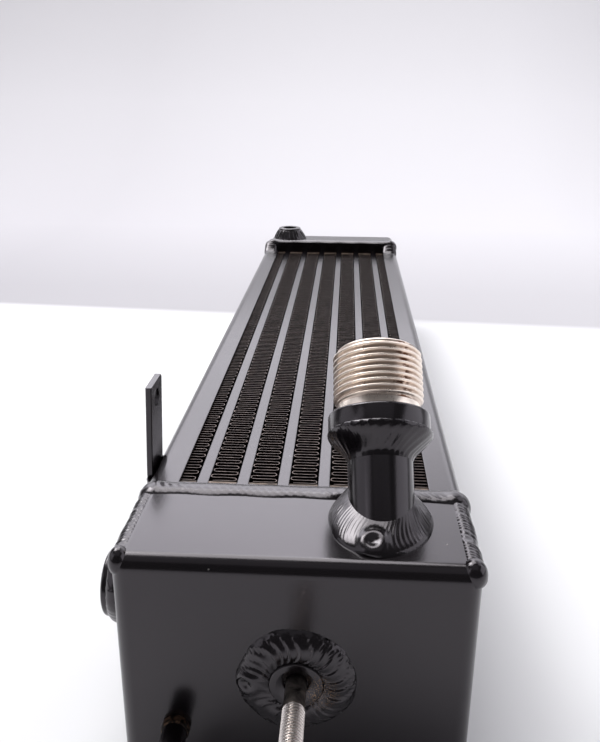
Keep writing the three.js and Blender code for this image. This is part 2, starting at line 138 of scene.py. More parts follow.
def split_point(tree):
    """The shaded point's X, Y and Z in the object's own coordinates."""
    split = tree.nodes.new("ShaderNodeSeparateXYZ")
    tree.links.new(object_point(tree), split.inputs["Vector"])
    return split.outputs


def noise(tree, scale, detail=2.0, distortion=0.0, stretch=(1, 1, 1)):
    """Noise over the object's own coordinates; scale and stretch count features in a metre."""
    stretched = add_node(tree, "ShaderNodeMapping", Scale=stretch)
    node = add_node(tree, "ShaderNodeTexNoise", Scale=scale, Detail=detail, Distortion=distortion)
    tree.links.new(object_point(tree), stretched.inputs["Vector"])
    tree.links.new(stretched.outputs["Vector"], node.inputs["Vector"])
    return node.outputs["Fac"]


def spread(tree, value, low, high, to_low=0.0, to_high=1.0):
    """The value, moved from one range into another."""
    node = add_node(tree, "ShaderNodeMapRange", From_Min=low, From_Max=high, To_Min=to_low, To_Max=to_high)
    tree.links.new(value, node.inputs["Value"])
    return node.outputs["Result"]


def math_node(tree, operation, a, b):
    """a and b are numbers or other nodes' outputs."""
    node = tree.nodes.new("ShaderNodeMath")
    node.operation = operation
    for socket, value in zip(node.inputs, (a, b)):
        if isinstance(value, (int, float)):
            socket.default_value = value
        else:
            tree.links.new(value, socket)
    return node.outputs[0]


def product(tree, first, *others):
    for value in others:
        first = math_node(tree, "MULTIPLY", first, value)
    return first


def radius_about_axis(tree, foot, axis):
    """How far the shaded point lies from an axis through foot, in metres; foot is in millimetres."""
    point = object_point(tree)
    for operation, value in (("SUBTRACT", in_metres(foot)), ("CROSS_PRODUCT", axis)):
        node = tree.nodes.new("ShaderNodeVectorMath")
        node.operation = operation
        node.inputs[1].default_value = value
        tree.links.new(point, node.inputs[0])
        point = node.outputs["Vector"]
    length = tree.nodes.new("ShaderNodeVectorMath")
    length.operation = "LENGTH"
    tree.links.new(point, length.inputs[0])
    return length.outputs["Value"]


def mixed(tree, factor, a, b):
    """A colour between a and b; each is a colour or another node's output."""
    node = tree.nodes.new("ShaderNodeMix")
    node.data_type = "RGBA"
    tree.links.new(factor, node.inputs["Factor"])
    colour_a, colour_b = [s for s in node.inputs if s.type == "RGBA"]
    for socket, value in ((colour_a, a), (colour_b, b)):
        if isinstance(value, tuple):
            socket.default_value = (*value, 1)
        else:
            tree.links.new(value, socket)
    return [s for s in node.outputs if s.type == "RGBA"][0]


def patchy(tree, pattern, reading, dark, light):
    """A colour from dark to light, as the pattern goes through the reading range."""
    return mixed(tree, spread(tree, pattern, *reading), dark, light)


def specks(tree, scale, share, size):
    """1 inside small scattered specks, 0 elsewhere: a dot in some of the cells of a Voronoi pattern."""
    cells = add_node(tree, "ShaderNodeTexVoronoi", Scale=scale)
    tree.links.new(object_point(tree), cells.inputs["Vector"])
    split = tree.nodes.new("ShaderNodeSeparateColor")
    tree.links.new(cells.outputs["Color"], split.inputs["Color"])
    chosen = math_node(tree, "GREATER_THAN", split.outputs["Red"], 1 - share)
    near = math_node(tree, "LESS_THAN", cells.outputs["Distance"], size)
    return product(tree, chosen, near)


def finish_shader(tree, shader, colour, gloss, grain=None):
    """Gives a shader its colour, an uneven gloss and a fine grain.

    gloss is (noise scale, detail, lowest roughness, highest roughness).
    grain is (noise scale, detail, height in millimetres, strength).
    """
    tree.links.new(colour, shader.inputs["Base Color"])
    scale, detail, *roughness = gloss
    patches = spread(tree, noise(tree, scale, detail), *WIDE, *roughness)
    tree.links.new(patches, shader.inputs["Roughness"])
    if grain:
        scale, detail, height, strength = grain
        bump = add_node(tree, "ShaderNodeBump", Distance=height * MM, Strength=strength)
        tree.links.new(noise(tree, scale, detail), bump.inputs["Height"])
        tree.links.new(bump.outputs["Normal"], shader.inputs["Normal"])


def patchy_look(name, patches, reading, dark, light, gloss, grain=None, **shine):
    """A look whose colour wanders between dark and light; patches is (noise scale, detail, ...)."""
    look, tree, shader = new_look(name, **shine)
    colour = patchy(tree, noise(tree, *patches), reading, dark, light)
    finish_shader(tree, shader, colour, gloss, grain)
    return look


# ---- materials ----


def powder_coat(name="black_powder_coat", roughness=(0.185, 0.21), peel=0.4, scorched=None):
    """Satin black powder coat: fine orange peel, a little dust, uneven gloss.

    scorched is a place on the front face, (x, z, reach), round which it is flecked with brown.
    """
    look, tree, shader = new_look(name, specular=0.6, tint=(1, 0.93, 0.99))
    colour = patchy(tree, noise(tree, 45, 3), WIDE, (0.0024, 0.0016, 0.0021), (0.0042, 0.0031, 0.0039))
    colour = mixed(tree, specks(tree, 260, 0.05, 0.07), colour, (0.17, 0.165, 0.155))
    if scorched:
        x, z, reach = scorched
        away = radius_about_axis(tree, (x, 0, z), (0, 1, 0))
        close = spread(tree, away, reach * MM * 0.4, reach * MM, 1, 0)
        flecks = product(tree, close, spread(tree, noise(tree, 3600, 2), 0.56, 0.66))
        colour = mixed(tree, flecks, colour, (0.36, 0.22, 0.12))
    finish_shader(tree, shader, colour, gloss=(160, 4, *roughness), grain=(1300, 2, 0.03, peel))
    return look


def thread_metal():
    """Warm plated metal, with painted shade in the thread's roots, and brown stains there on its
    right-hand side.
    """
    look, tree, shader = new_look("thread_metal", metallic=1.0)
    colour = patchy(tree, noise(tree, 120, 3), WIDE, (0.88, 0.765, 0.67), (0.97, 0.885, 0.80))
    neck_limit, dark_until, light_from = 12.0 * MM, 12.4 * MM, 12.8 * MM
    radius = radius_about_axis(tree, UNION["foot"], UNION_AXIS)
    above_neck = math_node(tree, "GREATER_THAN", radius, neck_limit)
    roots = product(tree, spread(tree, radius, dark_until, light_from, 1, 0), above_neck)
    # The stains lie in a band of X, here in metres.
    x = split_point(tree)["X"]
    begins = spread(tree, x, 0.0275, 0.030)
    ends = spread(tree, x, 0.0315, 0.0345, 1, 0)
    dashes = spread(tree, noise(tree, 1, 3, stretch=(130, 700, 700)), 0.47, 0.55)
    # Painted shade: the roots of the thread are coloured darker, where shade falls in the grooves.
    colour = mixed(tree, roots, colour, (0.66, 0.55, 0.47))
    colour = mixed(tree, product(tree, begins, ends, dashes, roots), colour, (0.12, 0.055, 0.03))
    finish_shader(tree, shader, colour, gloss=(700, 3, 0.26, 0.36), grain=(2600, 2, 0.01, 0.25))
    return look


def stud_steel():
    """Dull steel, with painted shade in the roots of the thread."""
    look, tree, shader = new_look("stud_steel", metallic=1.0)
    colour = patchy(tree, noise(tree, 300, 3), WIDE, (0.66, 0.605, 0.575), (0.82, 0.765, 0.735))
    dark_until, light_from = 2.45 * MM, 2.8 * MM
    radius = radius_about_axis(tree, BOSS_FOOT, (0, 1, 0))
    roots = spread(tree, radius, dark_until, light_from, 1, 0)
    # Painted shade: the roots of the thread are coloured darker, where shade falls in the grooves.
    colour = mixed(tree, roots, colour, (0.16, 0.135, 0.125))
    finish_shader(tree, shader, colour, gloss=(1100, 3, 0.24, 0.34), grain=(2600, 2, 0.01, 0.25))
    return look


def paper_look():
    """White near the cooler, and a soft grey beyond a slightly skewed edge; the grey is painted lighter to
    the right and farther back, as painted light and shade.
    """
    look, tree, shader = new_look("paper", specular=0.2)
    set_inputs(shader, Roughness=0.85)
    point = split_point(tree)
    # Painted light and shade: the backdrop's grey gets lighter to the right and farther back.
    rightwards = spread(tree, point["X"], -0.35, 0.3)
    farther = spread(tree, point["Y"], 0.35, 1.1)
    close = mixed(tree, rightwards, (0.36, 0.35, 0.37), (0.50, 0.49, 0.51))
    distant = mixed(tree, rightwards, (0.52, 0.51, 0.53), (0.67, 0.66, 0.68))
    rear = mixed(tree, farther, close, distant)
    skew = product(tree, point["X"], 0.07)
    beyond = spread(tree, math_node(tree, "ADD", point["Y"], skew), 0.245, 0.265)
    tree.links.new(mixed(tree, beyond, (0.80, 0.80, 0.81), rear), shader.inputs["Base Color"])
    return look


COAT = powder_coat()
WELD_COAT = powder_coat("black_powder_coat_on_weld", (0.17, 0.21), 0.15)
BOSS_COAT = powder_coat(
    "black_powder_coat_on_boss", (0.17, 0.21), 0.15, scorched=(BOSS["x"] + 6.5, BOSS["z"] - 1.5, 6)
)
# The thin fin sheet deep in the core: paint that thinned out over brazed aluminium.
FIN_SHEET = patchy_look(
    "fin_sheet", (300, 4), NARROW, (0.0035, 0.0022, 0.0018), (0.013, 0.0085, 0.007),
    gloss=(900, 2, 0.4, 0.6), grain=(2500, 2, 0.02, 0.3), metallic=0.2, specular=0.15,
)
# The folded sheet's cut edges, rubbed nearly bare, and also coloured lighter as a painted highlight along
# them.
FIN_EDGE = patchy_look(
    "fin_edge", (350, 4), NARROW, (0.042, 0.027, 0.023), (0.16, 0.118, 0.102),
    gloss=(900, 2, 0.35, 0.5), metallic=0.5,
)
# Brazed aluminium with a thin, brownish coat.
END_BAR = patchy_look(
    "end_bar_metal", (260, 5), NARROW, (0.035, 0.023, 0.017), (0.15, 0.108, 0.082),
    gloss=(500, 3, 0.45, 0.65), grain=(1200, 3, 0.03, 0.4), metallic=0.4,
)
ALUMINIUM = patchy_look(
    "bare_aluminium", (200, 3), WIDE, (0.48, 0.48, 0.49), (0.62, 0.62, 0.64),
    gloss=(1500, 2, 0.32, 0.5), grain=(3000, 2, 0.01, 0.3), metallic=1.0,
)
THREAD = thread_metal()
STEEL = stud_steel()
# Bare metal browned by welding heat, where the paint has cracked off at the pin's foot.
HEATED = patchy_look(
    "heated_metal", (420, 4, 1.0), (0.48, 0.66), (0.012, 0.008, 0.006), (0.20, 0.12, 0.075),
    gloss=(900, 3, 0.3, 0.55), grain=(1500, 3, 0.04, 0.5), metallic=0.8,
)
# The plain end of the stud: steel dulled by overspray and heat.
SHANK = patchy_look(
    "shank_metal", (300, 4, 0.8), NARROW, (0.03, 0.026, 0.024), (0.20, 0.175, 0.16),
    gloss=(800, 3, 0.3, 0.45), grain=(1800, 3, 0.03, 0.4), metallic=0.8,
)

# ---- mesh helpers ----


class Shape:
    """Vertices and faces gathered from grids of points, in millimetres."""

    def __init__(self):
        self.vertices = []
        self.faces = []
        self.kinds = []

    def grid(self, points, loop_rows=False, loop_columns=False, caps=False, kinds=None):
        """Quads over a rows x columns grid of points. Caps close the first and the last row.

        kinds gives each column of quads its number in the piece's list of materials.
        """
        points = np.asarray(points, float)
        rows, columns = points.shape[:2]
        first = len(self.vertices)
        self.vertices.extend(points.reshape(-1, 3).tolist())
        for i in range(rows if loop_rows else rows - 1):
            below, above = first + i * columns, first + (i + 1) % rows * columns
            for j in range(columns if loop_columns else columns - 1):
                k = (j + 1) % columns
                self.faces.append((below + j, below + k, above + k, above + j))
                self.kinds.append(kinds[j] if kinds else 0)
        if caps:
            last = first + (rows - 1) * columns
            self.faces.append(tuple(range(first + columns - 1, first - 1, -1)))
            self.faces.append(tuple(range(last, last + columns)))
            self.kinds.extend((0, 0))
        return self


def add_object(name, data):
    thing = bpy.data.objects.new(name, data)
    bpy.context.scene.collection.objects.link(thing)
    return thing


def mesh_object(name, shape, looks, sharp=40):
    """A mesh in the scene; edges that bend more than sharp degrees are shaded as edges."""
    mesh = bpy.data.meshes.new(name)
    mesh.from_pydata(in_metres(shape.vertices).tolist(), [], shape.faces)
    mesh.polygons.foreach_set("material_index", shape.kinds)
    for look in looks:
        mesh.materials.append(look)
    body = bmesh.new()
    body.from_mesh(mesh)
    bmesh.ops.remove_doubles(body, verts=body.verts, dist=1e-6)
    bmesh.ops.recalc_face_normals(body, faces=body.faces)
    body.to_mesh(mesh)
    body.free()
    mesh.shade_smooth()
    mesh.set_sharp_from_angle(angle=math.radians(sharp))
    return add_object(name, mesh)


def settle(thing, *nodes):
    """Makes a piece ride with the cooler and stand for the CAD nodes."""
    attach(thing, "root")
    if nodes:
        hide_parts(*nodes)
    return thing


def piece(name, shape, looks, *nodes, sharp=40):
    """A finished piece; looks is one material, or a list of them."""
    looks = looks if isinstance(looks, list) else [looks]
    return settle(mesh_object(name, shape, looks, sharp), *nodes)


def bake(thing):
    """Makes a piece's modifiers part of its mesh."""
    seen = thing.evaluated_get(bpy.context.evaluated_depsgraph_get())
    mesh = bpy.data.meshes.new_from_object(seen)
    thing.modifiers.clear()
    thing.data = mesh


def even_shading(thing):
    """Keeps large flat faces flat where they meet small bends."""
    weighted = thing.modifiers.new("weighted", "WEIGHTED_NORMAL")
    weighted.keep_sharp = True
    weighted.weight = 100
    bake(thing)
    return thing


def drilled(thing, *cutters):
    """Cuts round holes through a piece; each cutter is (radius, reach both ways, foot, direction)."""
    for radius, reach, foot, direction in cutters:
        profile = [(0, -reach), (radius, -reach), (radius, reach), (0, reach)]
        rod = turned(profile, foot, direction, 48)
        tool = mesh_object("cutter", Shape().grid(rod, loop_rows=True), [thing.data.materials[0]])
        cut = thing.modifiers.new("hole", "BOOLEAN")
        cut.operation = "DIFFERENCE"
        cut.solver = "EXACT"
        cut.object = tool
        bake(thing)
        bpy.data.objects.remove(tool)
    return thing


def smooth(value):
    """A gentle rise from 0 to 1 while the value goes from 0 to 1."""
    value = np.clip(value, 0, 1)
    return value * value * (3 - 2 * value)


def rounded(points, radii, steps=5):
    """A closed 2D outline with each corner rounded by its radius; 0 keeps a corner sharp."""
    points = [Vector(p) for p in points]
    result = []
    for i, (corner, radius) in enumerate(zip(points, radii)):
        if radius == 0:
            result.append(tuple(corner))
            continue
        before = (points[i - 1] - corner).normalized()
        after = (points[(i + 1) % len(points)] - corner).normalized()
        half = before.angle(after) / 2
        centre = corner + (before + after).normalized() * (radius / math.sin(half))
        start = corner + before * (radius / math.tan(half)) - centre
        end = corner + after * (radius / math.tan(half)) - centre
        swing = start.angle_signed(end)
        for k in range(steps + 1):
            angle = -swing * k / steps
            c, s = math.cos(angle), math.sin(angle)
            result.append((centre.x + (start.x * c - start.y * s), centre.y + (start.x * s + start.y * c)))
    return result


def rounded_rectangle(x0, x1, z0, z1, radius, steps=8):
    """A rectangle's outline with the same number of points whatever its corner radius is."""
    points = []
    corners = ((x1, z0, -90), (x1, z1, 0), (x0, z1, 90), (x0, z0, 180))
    for x, z, start in corners:
        cx = x + (-radius if x == x1 else radius)
        cz = z + (-radius if z == z1 else radius)
        for k in range(steps + 1):
            angle = math.radians(start + 90 * k / steps)
            points.append((cx + radius * math.cos(angle), cz + radius * math.sin(angle)))
    return points


def slices(*outlines):
    """A grid of points from (outline, y) pairs, each outline drawn in X and Z."""
    return [[(x, y, z) for x, z in outline] for outline, y in outlines]


def sleeve(outer, inner, y0, y1):
    """What lies between two outlines in X and Z, from y0 to y1."""
    rows = slices((outer, y0), (outer, y1), (inner, y1), (inner, y0))
    return Shape().grid(rows, loop_rows=True, loop_columns=True)


def axes(direction, hint=UP):
    """Two unit vectors at right angles to the direction, and the direction as a unit vector."""
    w = np.array(direction, float) / np.linalg.norm(direction)
    u = np.cross(hint, w)
    u /= np.linalg.norm(u)
    return u, np.cross(w, u), w


def turned(profile, foot, direction, segments, hint=UP):
    """Points of a [radius, distance] profile turned about an axis: segments x profile."""
    u, v, w = axes(direction, hint)
    angle = np.linspace(0, TAU, segments, endpoint=False)[:, None, None]
    r = np.array([p[0] for p in profile])[None, :, None]
    t = np.array([p[1] for p in profile])[None, :, None]
    return np.array(foot) + w * t + r * (np.cos(angle) * u + np.sin(angle) * v)


def turned_piece(name, profile, foot, direction, segments, look, node, ring=True, hint=UP, sharp=40):
    """A turned body; ring says that the profile is closed, and the axis isn't part of it."""
    points = turned(profile, foot, direction, segments, hint)
    shape = Shape().grid(points, loop_rows=True, loop_columns=ring)
    piece(name, shape, look, node, sharp=sharp)


def threaded(crest, root, pitch, start, end, foot, direction, segments, per_turn, hint=UP):
    """A turned rod with a helical thread between start and end: segments x distance."""
    u, v, w = axes(direction, hint)
    t = np.arange(start, end + pitch / per_turn / 2, pitch / per_turn)
    angle = np.linspace(0, TAU, segments, endpoint=False)[:, None]
    place = ((t[None, :] - start) / pitch - angle / TAU) % 1
    steep, valley = 1.3, 0.15
    flank = np.clip((0.5 - np.abs(place - 0.5)) * 2 * steep - valley, 0, 1)
    rise = smooth(flank) * 0.5 + flank * 0.5
    fade = smooth((t - start) / pitch) * smooth((end - t) / (0.8 * pitch))
    r = (root + (crest - root) * rise * fade[None, :])[..., None]
    angle = angle[..., None]
    return np.array(foot) + w * t[None, :, None] + r * (np.cos(angle) * u + np.sin(angle) * v)


def through(points, count):
    """A smooth curve through a few points, as count points evenly spread over them."""
    points = np.array(points, float)
    padded = np.vstack([2 * points[0] - points[1], points, 2 * points[-1] - points[-2]])
    result = []
    for place in np.linspace(0, len(points) - 1, count):
        i = min(int(place), len(points) - 2)
        f = place - i
        p0, p1, p2, p3 = padded[i : i + 4]
        square, cube = 2 * p0 - 5 * p1 + 4 * p2 - p3, 3 * p1 - p0 - 3 * p2 + p3
        result.append(0.5 * (2 * p1 + (p2 - p0) * f + square * f**2 + cube * f**3))
    return np.array(result)


# ---- weld beads ----

BEAD_COLUMNS = 15


def empty_bead(stations, columns=BEAD_COLUMNS):
    """Grids to fill: a bead's surface, and two hidden points under it at each station."""
    return np.zeros((stations, columns, 3)), np.zeros((stations, 2, 3))


def chance(number, seed):
    """A repeatable value from 0 to 1 for each whole number."""
    return np.abs(np.sin(number * 12.9898 + seed * 78.233) * 43758.5453) % 1


def wander(angle, seed, *waves):
    """An uneven wave round a ring; each wave is (turns, height), and the seed shifts them apart."""
    return sum(h * np.sin(turns * angle + i * seed) for i, (turns, h) in enumerate(waves, 1))


def surface_normals(base, inside, loop):
    """The unit normals of a bead's surface, on the side away from its hidden points."""
    if loop:
        along = np.roll(base, -1, 0) - np.roll(base, 1, 0)
    else:
        along = np.gradient(base, axis=0)
    normal = np.cross(along, np.gradient(base, axis=1))
    normal /= np.linalg.norm(normal, axis=2, keepdims=True) + 1e-9
    middle = inside.mean(axis=1, keepdims=True)
    return normal if np.sum(normal * (base - middle)) > 0 else -normal


def puddled(base, inside, loop, ripples, depth, seed, curve=0.8, slant=0.0, craters=()):
    """Adds the overlapping puddle edges of a hand-laid bead to its smooth surface.

    base is stations x places across; inside holds the hidden points under the bead.
    curve bows each puddle's edge, and slant leans it, both in ripples.
    A crater is (place along, place across, radius, rim, pit): where the arc was stopped.
    """
    rows, columns = base.shape[:2]
    along = np.arange(rows)[:, None] / (rows if loop else rows - 1)
    across = np.linspace(0, 1, columns)[None, :]
    drift = wander(TAU * along, seed, (2, 1), (3, 0.6), (7, 0.4))
    bow = 1 - (2 * across - 1) ** 2
    phase = ripples * along + 0.35 * drift + curve * bow + slant * across
    step = phase % 1
    number = np.floor(phase) % ripples
    climb, fall = 0.82, 0.18
    height = smooth(step / climb) * (1 - smooth((step - climb) / fall))
    strength = 0.5 + 0.5 * chance(number, seed)
    lift = depth * strength * height * np.sin(math.pi * across) ** 0.5
    for place_along, place_across, radius, rim, pit in craters:
        centre = base[int(place_along * rows) % rows, int(place_across * (columns - 1))]
        away = np.linalg.norm(base - centre, axis=2) / radius
        lift = lift * smooth(away - 0.35)
        lift += rim * np.exp(-((away - 0.5) / 0.3) ** 2) + 0.6 * rim * np.exp(-(away**2))
        lift -= pit * np.exp(-((away / 0.28) ** 2))
    normal = surface_normals(base, inside, loop)
    return base + normal * lift[..., None]


def bead_shape(base, inside, loop, **ripple):
    """A closed bead; loop says that it runs round a fitting and has no ends."""
    full = np.concatenate([puddled(base, inside, loop, **ripple), inside], axis=1)
    return Shape().grid(full, loop_rows=loop, loop_columns=True, caps=not loop)


def ring_bead(
    name, look, node, section, buried, foot, direction, segments, uneven, seed, hint=UP, **ripple
):
    """A bead round a fitting. section runs from the outer toe to the inner top, as [radius, distance]."""
    profile = through(section, BEAD_COLUMNS)
    base = turned(profile, foot, direction, segments, hint)
    hidden = turned(buried, foot, direction, segments, hint)
    inner = profile[:, 0].min()
    share = ((profile[:, 0] - inner) / (profile[:, 0].max() - inner))[None, :, None]
    angle = np.linspace(0, TAU, segments, endpoint=False)[:, None, None]
    swell = wander(angle, seed, (3, 1), (5, 0.7), (11, 0.5))
    u, v, _ = axes(direction, hint)
    base = base + uneven * swell * share * (np.cos(angle) * u + np.sin(angle) * v)
    piece(name, bead_shape(base, hidden, True, seed=seed, **ripple), look, node)


# ---- tanks ----


def tank_outline(inset):
    """The tank's outer outline, moved inwards."""
    radius = max(TANK_BEND - inset, 0.02)
    return rounded_rectangle(TANK_LEFT + inset, TANK_RIGHT - inset, inset, TANK_TOP - inset, radius)


def tank_shape(closed_y, open_y):
    """A folded sheet box, open towards the core: its inner skin, its open edge, then its outer skin."""
    inward = math.copysign(1, open_y - closed_y)
    skin = [
        (3 * TANK_SHEET, closed_y + inward * TANK_SHEET),
        (TANK_SHEET, closed_y + inward * (TANK_SHEET + 0.5)),
        (TANK_SHEET, open_y),
        (0, open_y),
    ]
    bend_steps = 8
    for k in range(bend_steps + 1):
        angle = math.radians(90 * k / bend_steps)
        y = closed_y + inward * TANK_BEND * (1 - math.sin(angle))
        skin.append((TANK_BEND * (1 - math.cos(angle)), y))
    rows = slices(*((tank_outline(inset), y) for inset, y in skin))
    return Shape().grid(rows, loop_columns=True, caps=True)


def tank(name, node, closed_y, open_y, *cutters):
    box = mesh_object(name, tank_shape(closed_y, open_y), [COAT], sharp=30)
    settle(even_shading(drilled(box, *cutters)), node)


def header_frame(name, node):
    """The flat plate between a tank and the core, with its rounded outline and its opening."""
    low, high = own_box(node)
    inner = rounded_rectangle(TANK_LEFT + TANK_SHEET, TANK_RIGHT - TANK_SHEET, *HEADER_OPENING, 0.8)
    shape = sleeve(tank_outline(0), inner, low[1], high[1])
    even_shading(piece(name, shape, COAT, node))


tank(
    "near_tank_box", "near_tank", 0, NEAR_TANK_DEPTH,
    (UNION["tube_bore"], 12, UNION["foot"], UNION_AXIS),
    (PORT["bore"], 6, PORT_FOOT, LEFT),
)
# The far tank's roof stays whole, so the bung's hole is a blind one.
tank("far_tank_box", "far_tank", FAR_TANK_BACK, FAR_TANK_NEAR)
header_frame("near_header_plate", "near_header_frame")
header_frame("far_header_plate", "far_header_frame")

# ---- beads on the tanks ----


def outline_path(step):
    """Points and outward normals up the left side, over the top and down the right side."""
    foot, r = 5.0, TANK_BEND
    path = []

    def bend(centre_x, start):
        for angle in np.arange(start, start - 90, -math.degrees(step / r)):
            c, s = math.cos(math.radians(angle)), math.sin(math.radians(angle))
            path.append((centre_x + r * c, TANK_TOP - r + r * s, c, s))

    for z in np.arange(foot, TANK_TOP - r, step):
        path.append((TANK_LEFT, z, -1, 0))
    bend(TANK_LEFT + r, 180)
    for x in np.arange(TANK_LEFT + r, TANK_RIGHT - r, step):
        path.append((x, TANK_TOP, 0, 1))
    bend(TANK_RIGHT - r, 90)
    for z in np.arange(TANK_TOP - r, foot, -step):
        path.append((TANK_RIGHT, z, 1, 0))
    return np.array(path)


def core_bead(name, node, joint, reach, proud, pitch, seed, lumps):
    """The rope-like bead between a tank and its header frame. A lump is (place along, width, height)."""
    path_step, sunk, buried = 0.3, 0.15, 0.9
    path = outline_path(path_step)
    stations = len(path)
    along = np.arange(stations) / (stations - 1)
    swell = np.zeros(stations)
    for place, width, height in lumps:
        swell += height * np.exp(-(((along - place) * stations * path_step / width) ** 2))
    ends = smooth(along * 60) * smooth((1 - along) * 60)
    across = np.linspace(-1, 1, BEAD_COLUMNS)
    crown = 1 - np.abs(across) ** 2.6
    base, hidden = empty_bead(stations)
    for i, (x, z, nx, nz) in enumerate(path):
        rise = (proud + swell[i]) * (0.35 + 0.65 * ends[i])
        wide = reach + 0.35 * swell[i] + 0.25 * math.sin(i * 0.11 + seed) * ends[i]
        for j, a in enumerate(across):
            h = rise * crown[j] - sunk
            base[i, j] = (x + nx * h, joint + a * wide, z + nz * h)
        for j, a in enumerate((0.9, -0.9)):
            hidden[i, j] = (x - nx * buried, joint + a * wide, z - nz * buried)
    ripples = round(stations * path_step / pitch)
    shape = bead_shape(base, hidden, False, ripples=ripples, depth=0.16, seed=seed, curve=0.9, slant=1.6)
    piece(name, shape, WELD_COAT, node)


core_bead(
    "near_core_bead", "near_core_weld", NEAR_TANK_DEPTH, 4.0, 1.0, 2.6, 2.0,
    ((0.285, 3.5, 0.7), (0.715, 4.5, 1.0)),
)
core_bead(
    "far_core_bead", "far_core_weld", FAR_TANK_NEAR, 3.8, 1.3, 2.9, 5.0,
    ((0.285, 5, 1.0), (0.715, 5, 1.0)),
)


def seam_drop(x, wide, deep, tall):
    """The round drop that a corner seam ends in: a squashed ball in front of the tank's edge."""
    rings, points = 40, 64
    drop = []
    for k in range(rings + 1):
        polar = math.pi * k / rings
        ring = []
        for m in range(points):
            bearing = TAU * m / points
            ring.append((
                x + wide * math.sin(polar) * math.cos(bearing),
                0.1 + deep + deep * math.sin(polar) * math.sin(bearing),
                TANK_TOP + 1.1 - tall + tall * math.cos(polar),
            ))
        drop.append(ring)
    return drop


def corner_seam(name, side, seed, last_angle, drop_shift, drop_size, ripples):
    """The weld along a tank's upper side edge: a stack of puddles that ends in a drop in front."""
    edge_x = TANK_LEFT if side < 0 else TANK_RIGHT
    centre_x, centre_z = edge_x - side * TANK_BEND, TANK_TOP - TANK_BEND

    def at(y, angle, r):
        return centre_x + side * r * math.cos(angle), y, centre_z + r * math.sin(angle)

    stations = np.arange(2.2, NEAR_TANK_DEPTH - 2.5, 0.2)
    angles = np.radians(np.linspace(-32, last_angle, BEAD_COLUMNS))
    crown = np.sin(np.linspace(0, math.pi, BEAD_COLUMNS)) ** 0.7
    base, hidden = empty_bead(len(stations))
    for i, y in enumerate(stations):
        proud = 1.1 + 0.1 * math.sin(0.45 * y + seed)
        for j, angle in enumerate(angles):
            base[i, j] = at(y, angle, TANK_BEND - 0.25 + proud * crown[j])
        hidden[i] = [at(y, angle, TANK_BEND - 1.2) for angle in (angles[-1], angles[0])]
    shape = bead_shape(base, hidden, False, ripples=ripples, depth=0.36, seed=seed, curve=0.9)
    shape.grid(seam_drop(centre_x + side * drop_shift, *drop_size), loop_columns=True)
    piece(name, shape, WELD_COAT)


corner_seam("left_tank_seam", -1, 1.0, 82, 2.2, (2.9, 3.5, 4.1), 20)
corner_seam("right_tank_seam", 1, 4.0, 94, 1.9, (3.5, 3.8, 4.2), 19)

# ---- core ----


def corner_lump(name, x, half, seed):
    """Where the far bead turns down a side, the weld also fills the step down to the rail."""
    stations = np.arange(-11.0, 3.6, 0.25)
    base, hidden = empty_bead(len(stations))
    for i, step in enumerate(stations):
        y = FAR_HEADER + step
        share = i / (len(stations) - 1)
        foot = RAIL_TOP - 1.4 + 3.0 * smooth(share * 1.6 - 0.6)
        wide = half * (0.55 + 0.45 * min(share * 2.2, 1))
        crown = 0.4 + 4.6 * smooth(share * 1.15)
        for j, angle in enumerate(np.linspace(0, math.pi, BEAD_COLUMNS)):
            across, up = math.cos(angle), math.sin(angle)
            base[i, j] = (x - wide * across, y, foot + crown * up**0.7)
        hidden[i] = [(x + sign * wide * 0.95, y, foot - 2.5) for sign in (1, -1)]
    shape = bead_shape(base, hidden, False, ripples=4, depth=0.12, seed=seed, curve=0.6)
    piece(name, shape, WELD_COAT)


def face_bars():
    """Each flat liquid tube: two parting sheets and the bars along its two faces, with eased edges."""
    bar, face = 0.5, 3
    for number, node in enumerate(nodes_named("liquid_passage"), 1):
        low, high = own_box(node)
        outer = rounded_rectangle(low[0], high[0], low[2], high[2], BAR_EDGE, 3)
        inner = rounded_rectangle(low[0] + bar, high[0] - bar, low[2] + face, high[2] - face, 0.1, 3)
        shape = sleeve(outer, inner, low[1], high[1])
        even_shading(piece(f"face_bars_{number}", shape, COAT, node))


def fin_path(low, high, seed):
    """A serpentine's centre line across a fin row: straight legs joined by round turns."""
    pitch, turn = FIN["pitch"], FIN["turn"]
    half_sheet, slope, turn_steps = FIN["sheet"] / 2, 0.02, 5
    left, right = low[0] + half_sheet, high[0] - half_sheet
    line = []
    for k in range(round((high[1] - low[1]) / (pitch / 2))):
        y = low[1] + k * pitch / 2
        sign = 1 if k % 2 == 0 else -1
        near, far = (left, right) if sign > 0 else (right, left)
        nudge = 0.22 * (chance(k, seed) - 0.5)
        shorten = 0.35 * chance(k, seed + 3)
        leg_start = near + sign * turn
        leg_end = far - sign * (turn + shorten)
        line.append((leg_start, y - slope))
        line.append(((leg_start + leg_end) / 2, y + nudge))
        line.append((leg_end, y + slope))
        for m in range(1, turn_steps + 1):
            angle = math.radians(180 * m / (turn_steps + 1) - 90)
            line.append((
                leg_end + sign * turn * math.cos(angle),
                y + pitch / 4 + (pitch / 4 - slope) * math.sin(angle),
            ))
    return np.array(line[:-turn_steps])


def fin_rows():
    """The folded air fins, each one strip with round turns, open along Z."""
    for number, node in enumerate(nodes_named("air_fin"), 1):
        low, high = own_box(node)
        line = fin_path(low, high, number)
        ahead = np.gradient(line, axis=0)
        ahead /= np.linalg.norm(ahead, axis=1, keepdims=True)
        side = np.stack([-ahead[:, 1], ahead[:, 0]], axis=1) * FIN["sheet"] / 2
        bottom, top = low[2], high[2]
        rows = [
            [(*p, bottom), (*q, bottom), (*q, top), (*p, top)]
            for p, q in zip(line + side, line - side)
        ]
        shape = Shape().grid(rows, loop_columns=True, caps=True, kinds=(1, 0, 1, 0))
        piece(f"folded_fin_{number}", shape, [FIN_SHEET, FIN_EDGE], node, sharp=50)


